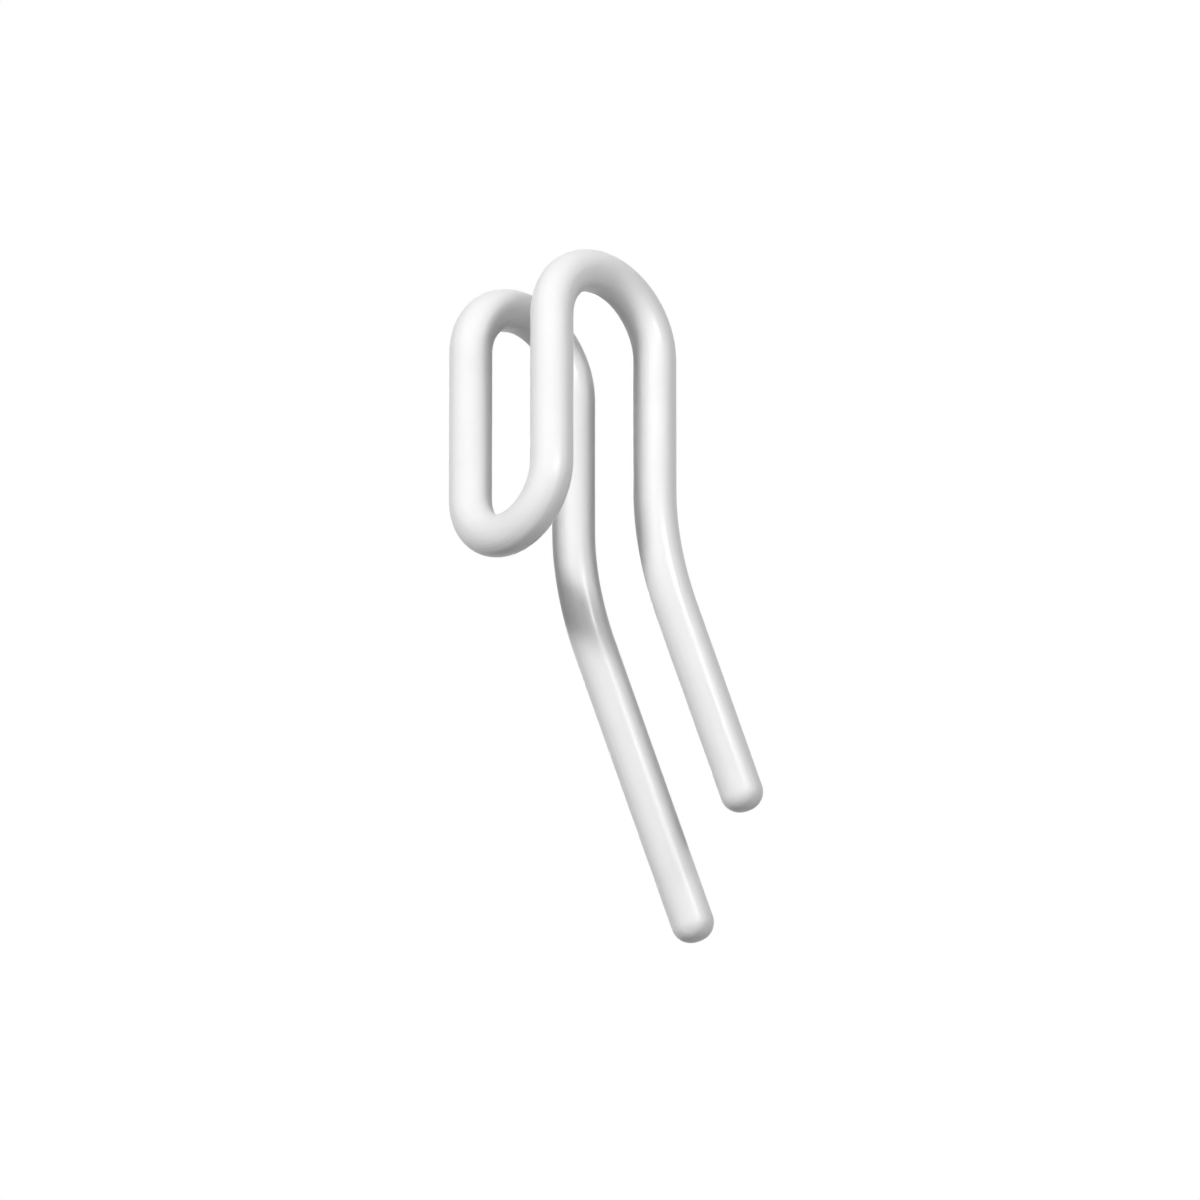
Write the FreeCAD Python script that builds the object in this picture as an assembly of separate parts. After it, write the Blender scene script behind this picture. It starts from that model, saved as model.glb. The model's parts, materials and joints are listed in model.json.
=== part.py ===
import FreeCAD
import Part
import math
import os

# A curtain hook, bent from one length of round wire.
#
# The wire starts at the long prong's tip, climbs the stem, passes over an arch and comes down the front. It turns
# back up in a closed nose, passes over a second arch and ends at the short prong's tip. The two sides stand side
# by side and are alike, apart from the length of their prongs.
#
# Frame: +Z is up as the hook hangs, -Y is the front, where the nose is, and -X is the long prong's side.
# The origin is the hanging point: midway between the two arches, level with the underside of their crowns.

# Driving dimensions, in millimetres and degrees. Bend radii are those of the wire's centre line.
wire_diameter = 2.0
seat_gap = 4.6  # clear, under an arch, between its front wire and its stem
side_gap = 3.45  # clear, between the two sides
nose_drop = 7.6  # straight front wire, from the arch to the nose bend
stem_drop = 6.8  # straight back wire, from the arch to the prong bend
prong_angle = 27.3  # the prongs' lean to the back, from the vertical
prong_bend_radius = 12.4
long_prong_length = 14.5  # straight prong, from the end of its bend to the tip
short_prong_length = 9.95
tip_rounding = 0.9  # radius on the rims of the wire's two cut ends

# Worked out from the driving dimensions
wire_radius = wire_diameter / 2
arch_radius = (seat_gap + wire_diameter) / 2
nose_radius = (side_gap + wire_diameter) / 2
front_y = -arch_radius
back_y = arch_radius
spring_z = wire_radius - arch_radius
nose_z = spring_z - nose_drop
stem_z = spring_z - stem_drop
lean = math.radians(prong_angle)

# Which side of the hook a point is on, as the sign of its X
LONG_SIDE = -1
SHORT_SIDE = 1


def line(start, end):
    return Part.LineSegment(start, end).toShape()


def arc(start, middle, end):
    return Part.Arc(start, middle, end).toShape()


def nose_bend():
    """The half circle that closes the nose, in the upright plane of the two front wires."""
    return arc(
        FreeCAD.Vector(LONG_SIDE * nose_radius, front_y, nose_z),
        FreeCAD.Vector(0, front_y, nose_z - nose_radius),
        FreeCAD.Vector(SHORT_SIDE * nose_radius, front_y, nose_z),
    )


def on_prong_bend(x, turn):
    """The point of the prong bend where the wire has turned back by that many radians."""
    return FreeCAD.Vector(
        x,
        back_y + prong_bend_radius * (1 - math.cos(turn)),
        stem_z - prong_bend_radius * math.sin(turn),
    )


def side_path(side, prong_length):
    """The centre line of one side: up from the nose bend, over the arch, down the stem and out along the prong."""
    x = side * nose_radius
    nose_start = FreeCAD.Vector(x, front_y, nose_z)
    arch_front = FreeCAD.Vector(x, front_y, spring_z)
    arch_crown = FreeCAD.Vector(x, 0, spring_z + arch_radius)
    arch_back = FreeCAD.Vector(x, back_y, spring_z)
    stem_end = on_prong_bend(x, 0)
    prong_start = on_prong_bend(x, lean)
    along_prong = FreeCAD.Vector(0, math.sin(lean), -math.cos(lean))
    return [
        line(nose_start, arch_front),
        arc(arch_front, arch_crown, arch_back),
        line(arch_back, stem_end),
        arc(stem_end, on_prong_bend(x, lean / 2), prong_start),
        line(prong_start, prong_start + along_prong * prong_length),
    ]


def bent_wire(path):
    """Round wire swept along one unbroken chain of edges, square at both ends."""
    chain = Part.sortEdges(path)[0]
    start = chain[0].valueAt(chain[0].FirstParameter)
    direction = chain[0].tangentAt(chain[0].FirstParameter)
    section = Part.Wire([Part.makeCircle(wire_radius, start, direction)])
    return Part.Wire(chain).makePipeShell([section], True, False)


def with_round_tips(wire):
    """The wire with the rims of its two cut ends rounded. Its only flat faces are those ends."""
    ends = [face for face in wire.Faces if isinstance(face.Surface, Part.Plane)]
    rims = [edge for end in ends for edge in end.Edges]
    return wire.makeFillet(tip_rounding, rims)


def hook_wire():
    path = side_path(LONG_SIDE, long_prong_length) + [nose_bend()] + side_path(SHORT_SIDE, short_prong_length)
    return with_round_tips(bent_wire(path))


os.makedirs("parts", exist_ok=True)
hook_wire().exportStep("parts/hook_wire.step")
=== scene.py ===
"""The looks of a white-coated wire curtain hook: its coat, the studio that lights it and the camera."""
import json
import math

import bpy
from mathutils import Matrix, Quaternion, Vector, noise

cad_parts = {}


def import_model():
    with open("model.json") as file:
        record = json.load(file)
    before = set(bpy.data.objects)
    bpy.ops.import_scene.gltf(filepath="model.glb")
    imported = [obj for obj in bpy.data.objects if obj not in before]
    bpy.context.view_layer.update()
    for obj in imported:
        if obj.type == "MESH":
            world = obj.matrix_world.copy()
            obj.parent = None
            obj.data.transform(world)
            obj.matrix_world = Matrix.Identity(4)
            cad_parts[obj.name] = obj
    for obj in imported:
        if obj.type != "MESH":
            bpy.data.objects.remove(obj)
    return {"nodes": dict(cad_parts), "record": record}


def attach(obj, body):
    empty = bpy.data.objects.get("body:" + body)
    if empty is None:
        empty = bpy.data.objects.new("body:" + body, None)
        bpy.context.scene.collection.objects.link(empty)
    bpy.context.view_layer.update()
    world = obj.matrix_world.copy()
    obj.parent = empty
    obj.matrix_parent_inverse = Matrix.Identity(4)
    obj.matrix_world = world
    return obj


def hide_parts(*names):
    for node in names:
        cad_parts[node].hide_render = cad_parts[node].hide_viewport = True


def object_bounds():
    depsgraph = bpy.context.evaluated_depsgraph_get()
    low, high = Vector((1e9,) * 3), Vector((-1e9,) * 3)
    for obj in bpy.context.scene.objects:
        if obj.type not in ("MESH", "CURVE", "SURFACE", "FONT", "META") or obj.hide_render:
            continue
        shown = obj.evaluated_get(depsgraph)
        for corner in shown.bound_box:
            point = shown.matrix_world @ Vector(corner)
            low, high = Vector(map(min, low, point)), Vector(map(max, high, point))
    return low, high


MM = 0.001

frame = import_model()
cad_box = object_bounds()
hook_middle = (cad_box[0] + cad_box[1]) / 2

# The hook's form, from the frame. The origin is midway between the arches, level with the underside of
# their crowns.
mounts = {mount["name"]: mount for mount in frame["record"]["mounts"]}
long_prong = mounts["long_prong"]
short_prong = mounts["short_prong"]
wire_radius = long_prong["dims"]["r_mm"] * MM
side_x = abs(long_prong["pos_m"][0])
arch_radius = -cad_box[0].y - wire_radius
crown_z = wire_radius
nose_z = min(v.co.z for v in frame["nodes"]["hook_wire"].data.vertices if v.co.y < 0) + wire_radius

# What the frame doesn't state
prong_bend_radius = 12.4 * MM
tip_rounding = 0.9 * MM

# The coat's mesh
sides_round = 64
station_spacing = 0.2 * MM
tip_rings = 12
swelling = 0.003 * MM  # how far the coat swells and thins
swelling_length = 1.6 * MM
swelling_falloff = 0.8  # how fast the finer swellings die away
swelling_step = 2.0  # how much finer each octave is than the last
swelling_octaves = 3

# The coat's surface. A spread is a noise's features in each metre of wire.
thin_coat = (0.85, 0.85, 0.85, 1)
thick_coat = (0.91, 0.91, 0.91, 1)
mottle_spread = 420.0
mottle_detail = 3.0
mottle_low = 0.3  # nearly all of the mottle lies between these two
mottle_high = 0.7
peel_spread = 2600.0
peel_depth = 0.008 * MM
line_spread = 4200.0
line_depth = 0.015 * MM
line_stretch = (1.0, 1.0, 0.02)  # die lines run along the wire
fine_detail = 2.0  # of the peel and the die lines
lowest_roughness = 0.31
highest_roughness = 0.37

# The photograph's view: the camera's bearing, and the point that the middle of the picture looks at
camera_azimuth = math.radians(46.30)
camera_elevation = math.radians(-27.37)
camera_distance = 1250.4 * MM
picture_width = 55.72 * MM  # measured at the point that the camera looks at
picture_right = 1.727 * MM
picture_up = -13.286 * MM
nearest_seen = 0.01
farthest_seen = 100.0

# The studio, in metres
floor_drop = 1.5  # the floor lies this far under the hook, well below the camera
floor_size = 12.0
floor_paint = (0.8, 0.8, 0.8, 1)
wall_paint = (0.03, 0.03, 0.03, 1)  # what the walls cast on the hook
lamp_distance = 0.8


def bearing(azimuth, elevation):
    """The unit vector towards something that far round the object and that far above its horizon."""
    return Vector((
        math.sin(azimuth) * math.cos(elevation),
        -math.cos(azimuth) * math.cos(elevation),
        math.sin(elevation),
    ))


def prong_points(prong):
    """The corner where this prong's axis meets its stem's, and the prong's tip."""
    axis = Vector(prong["axis"]).normalized()
    middle = Vector(prong["pos_m"])
    corner = middle + axis * ((arch_radius - middle.y) / axis.y)
    tip = middle + axis * (prong["dims"]["length_mm"] / 2 * MM + tip_rounding)
    return corner, tip


def wire_corners():
    """The corners of the centre line if it had no bends, from the long prong's tip to the short one's."""
    corner, tip = prong_points(long_prong)
    side = [
        tip,
        corner,
        Vector((-side_x, arch_radius, crown_z)),
        Vector((-side_x, -arch_radius, crown_z)),
        Vector((-side_x, -arch_radius, nose_z)),
    ]
    corner, tip = prong_points(short_prong)
    other_side = [
        tip,
        corner,
        Vector((side_x, arch_radius, crown_z)),
        Vector((side_x, -arch_radius, crown_z)),
        Vector((side_x, -arch_radius, nose_z)),
    ]
    return side + other_side[::-1]


def run_stations(start, end):
    """Points and the direction along a straight run, without its end."""
    direction = (end - start).normalized()
    count = max(1, round((end - start).length / station_spacing))
    return [(start.lerp(end, i / count), direction) for i in range(count)]


def bend_stations(start, into, out, radius):
    """Points and directions round a bend that turns from one direction to another, without its end."""
    turn = into.angle(out)
    axis = into.cross(out).normalized()
    centre = start + axis.cross(into) * radius
    count = max(1, round(radius * turn / station_spacing))
    turned = [Quaternion(axis, turn * i / count) for i in range(count)]
    return [(centre + q @ (start - centre), q @ into) for q in turned]


def wire_stations():
    """The whole centre line: straight runs joined by tangent bends."""
    corners = wire_corners()
    radii = [prong_bend_radius, arch_radius, arch_radius, side_x]
    radii += radii[::-1]
    stations = []
    start = corners[0]
    for before, corner, after, radius in zip(corners, corners[1:], corners[2:], radii):
        into = (corner - before).normalized()
        out = (after - corner).normalized()
        reach = radius * math.tan(into.angle(out) / 2)
        if (corner - into * reach - start).length > station_spacing / 2:
            stations += run_stations(start, corner - into * reach)
        stations += bend_stations(corner - into * reach, into, out, radius)
        start = corner + out * reach
    stations += run_stations(start, corners[-1])
    stations.append((corners[-1], (corners[-1] - start).normalized()))
    return stations


def rounded_tips(stations):
    """The stations as (point, direction, radius), with rings added that round both cut ends."""
    angles = [math.pi / 2 * i / tip_rings for i in range(tip_rings + 1)]
    rings = []
    first, into = stations[0]
    last, out = stations[-1]
    for angle in angles[::-1]:
        back = tip_rounding * (1 - math.sin(angle))
        rings.append((first + into * back, into, wire_radius - tip_rounding * (1 - math.cos(angle))))
    for point, direction in stations:
        if (point - first).length > tip_rounding and (point - last).length > tip_rounding:
            rings.append((point, direction, wire_radius))
    for angle in angles:
        back = tip_rounding * (1 - math.sin(angle))
        rings.append((last - out * back, out, wire_radius - tip_rounding * (1 - math.cos(angle))))
    return rings


def coat_thickness(place):
    """How far the coat stands out from its mean surface at a place on the straight wire."""
    swell = noise.fractal(place / swelling_length, swelling_falloff, swelling_step, swelling_octaves)
    return swelling * swell


def coated_wire():
    """The finished wire. For its material, each vertex keeps its place on the wire before it was bent."""
    rings = rounded_tips(wire_stations())
    vertices = []
    places = []
    travelled = 0.0
    previous = rings[0][0]
    across = Vector((1, 0, 0))
    for point, direction, radius in rings:
        travelled += (point - previous).length
        previous = point
        across = (across - direction * across.dot(direction)).normalized()
        up = direction.cross(across)
        for i in range(sides_round):
            angle = 2 * math.pi * i / sides_round
            place = Vector((math.cos(angle) * radius, math.sin(angle) * radius, travelled))
            outward = across * math.cos(angle) + up * math.sin(angle)
            vertices.append(point + outward * (radius + coat_thickness(place)))
            places.append(place)
    faces = []
    for ring in range(len(rings) - 1):
        for i in range(sides_round):
            a = ring * sides_round + i
            b = ring * sides_round + (i + 1) % sides_round
            faces.append((a, b, b + sides_round, a + sides_round))
    faces.append(tuple(reversed(range(sides_round))))
    faces.append(tuple(range(len(vertices) - sides_round, len(vertices))))
    mesh = bpy.data.meshes.new("coated_wire")
    mesh.from_pydata(vertices, [], faces)
    mesh.shade_smooth()
    straight = mesh.attributes.new("straight_wire", "FLOAT_VECTOR", "POINT")
    straight.data.foreach_set("vector", [value for place in places for value in place])
    return mesh


class Nodes:
    """A short way to write a material's node tree."""

    def __init__(self, material):
        material.use_nodes = True
        self.tree = material.node_tree
        self.tree.nodes.clear()

    def add(self, kind, inputs=None, **settings):
        """A new node. Each input is a value or another node's output, and the settings are the node's own."""
        node = self.tree.nodes.new(kind)
        for name, value in settings.items():
            setattr(node, name, value)
        for name, value in (inputs or {}).items():
            if isinstance(value, bpy.types.NodeSocket):
                self.tree.links.new(value, node.inputs[name])
            else:
                node.inputs[name].default_value = value
        return node


def white_coat():
    """White enamel on drawn wire: faintly mottled, with the wire's die lines just showing through."""
    material = bpy.data.materials.new("white_coat")
    nodes = Nodes(material)
    place = nodes.add("ShaderNodeAttribute", attribute_name="straight_wire").outputs["Vector"]

    mottle = nodes.add(
        "ShaderNodeTexNoise",
        {"Vector": place, "Scale": mottle_spread, "Detail": mottle_detail},
    )
    colour = nodes.add("ShaderNodeMix", {"Factor": mottle.outputs["Fac"]}, data_type="RGBA")
    colour.inputs["A"].default_value = thin_coat
    colour.inputs["B"].default_value = thick_coat
    roughness = nodes.add(
        "ShaderNodeMapRange",
        {
            "Value": mottle.outputs["Fac"],
            "From Min": mottle_low,
            "From Max": mottle_high,
            "To Min": lowest_roughness,
            "To Max": highest_roughness,
        },
    )

    peel = nodes.add(
        "ShaderNodeTexNoise",
        {"Vector": place, "Scale": peel_spread, "Detail": fine_detail},
    )
    peel_bump = nodes.add(
        "ShaderNodeBump",
        {"Height": peel.outputs["Fac"], "Strength": 1.0, "Distance": peel_depth},
    )
    stretched = nodes.add("ShaderNodeVectorMath", {0: place, 1: line_stretch}, operation="MULTIPLY")
    die_lines = nodes.add(
        "ShaderNodeTexNoise",
        {"Vector": stretched.outputs["Vector"], "Scale": line_spread, "Detail": fine_detail},
    )
    line_bump = nodes.add(
        "ShaderNodeBump",
        {
            "Height": die_lines.outputs["Fac"],
            "Strength": 1.0,
            "Distance": line_depth,
            "Normal": peel_bump.outputs["Normal"],
        },
    )

    enamel = nodes.add(
        "ShaderNodeBsdfPrincipled",
        {
            "Base Color": colour.outputs["Result"],
            "Roughness": roughness.outputs["Result"],
            "Normal": line_bump.outputs["Normal"],
        },
    )
    nodes.add("ShaderNodeOutputMaterial", {"Surface": enamel.outputs["BSDF"]})
    return material


def white_to_the_camera(nodes, lit):
    """A shader or background that lights the object but is plain white to the camera and in reflections."""
    rays = nodes.add("ShaderNodeLightPath").outputs
    seen = rays["Is Camera Ray"]
    for ray in ("Is Glossy Ray", "Is Transmission Ray"):
        seen = nodes.add("ShaderNodeMath", {0: seen, 1: rays[ray]}, operation="MAXIMUM").outputs[0]
    white = nodes.add("ShaderNodeBackground" if lit.node.type == "BACKGROUND" else "ShaderNodeEmission")
    white.inputs["Color"].default_value = (1, 1, 1, 1)
    white.inputs["Strength"].default_value = 1.0
    return nodes.add("ShaderNodeMixShader", {0: seen, 1: lit, 2: white.outputs[0]}).outputs[0]


def world():
    """Dim walls all round, which look white."""
    studio = bpy.data.worlds.new("studio")
    nodes = Nodes(studio)
    walls = nodes.add("ShaderNodeBackground", {"Color": wall_paint, "Strength": 1.0})
    nodes.add("ShaderNodeOutputWorld", {"Surface": white_to_the_camera(nodes, walls.outputs[0])})
    bpy.context.scene.world = studio


def floor():
    """A wide pale floor well below the camera, which looks white."""
    mesh = bpy.data.meshes.new("floor")
    half = floor_size / 2
    corners = [(-half, -half), (half, -half), (half, half), (-half, half)]
    mesh.from_pydata([(x, y, -floor_drop) for x, y in corners], [], [(0, 1, 2, 3)])
    material = bpy.data.materials.new("pale_floor")
    nodes = Nodes(material)
    paint = nodes.add("ShaderNodeBsdfDiffuse", {"Color": floor_paint})
    nodes.add("ShaderNodeOutputMaterial", {"Surface": white_to_the_camera(nodes, paint.outputs[0])})
    mesh.materials.append(material)
    plane = bpy.data.objects.new("floor", mesh)
    bpy.context.scene.collection.objects.link(plane)


def lamp(name, azimuth, elevation, size, light, shades=True, glints=False):
    """A square lamp that many degrees round the hook and above its horizon, facing the hook's middle.

    Its light is how bright it makes a white surface that faces it at the hook, where 1 renders as white.
    It shades the hook, glints in the enamel or does both. Few lamps glint, because a glint that is seen at
    a glancing angle hides the wire's edge.
    """
    data = bpy.data.lights.new(name, "AREA")
    data.size = size
    data.energy = light * (math.pi * lamp_distance) ** 2
    towards = bearing(math.radians(azimuth), math.radians(elevation))
    holder = bpy.data.objects.new(name, data)
    holder.location = hook_middle + towards * lamp_distance
    holder.rotation_euler = towards.to_track_quat("Z", "Y").to_euler()
    holder.visible_diffuse = shades
    holder.visible_glossy = glints
    bpy.context.scene.collection.objects.link(holder)


def camera():
    """The photograph's camera, with the picture's middle on the same point of the hook."""
    back = bearing(camera_azimuth, camera_elevation)
    right = bearing(camera_azimuth + math.pi / 2, 0)
    up = back.cross(right)
    data = bpy.data.cameras.new("camera")
    data.lens = data.sensor_width * camera_distance / picture_width
    data.clip_start = nearest_seen
    data.clip_end = farthest_seen
    holder = bpy.data.objects.new("camera", data)
    holder.location = right * picture_right + up * picture_up + back * camera_distance
    holder.rotation_euler = back.to_track_quat("Z", "Y").to_euler()
    bpy.context.scene.collection.objects.link(holder)
    bpy.context.scene.camera = holder


hook = bpy.data.objects.new("coated_wire", coated_wire())
hook.data.materials.append(white_coat())
bpy.context.scene.collection.objects.link(hook)
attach(hook, "root")
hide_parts("hook_wire")

world()
floor()
lamp("key", azimuth=8.0, elevation=12.0, size=0.12, light=0.64)
lamp("front", azimuth=35.0, elevation=24.0, size=0.16, light=0.12)
lamp("fill", azimuth=75.0, elevation=0.0, size=0.12, light=0.33)
lamp("side", azimuth=90.0, elevation=24.0, size=0.12, light=0.15)
lamp("glint", azimuth=75.0, elevation=8.0, size=0.12, light=0.40, shades=False, glints=True)
lamp("low", azimuth=15.0, elevation=-60.0, size=0.30, light=0.12)
lamp("back", azimuth=226.3, elevation=27.4, size=0.08, light=0.68, glints=True)
camera()

bpy.context.scene.view_settings.view_transform = "Standard"
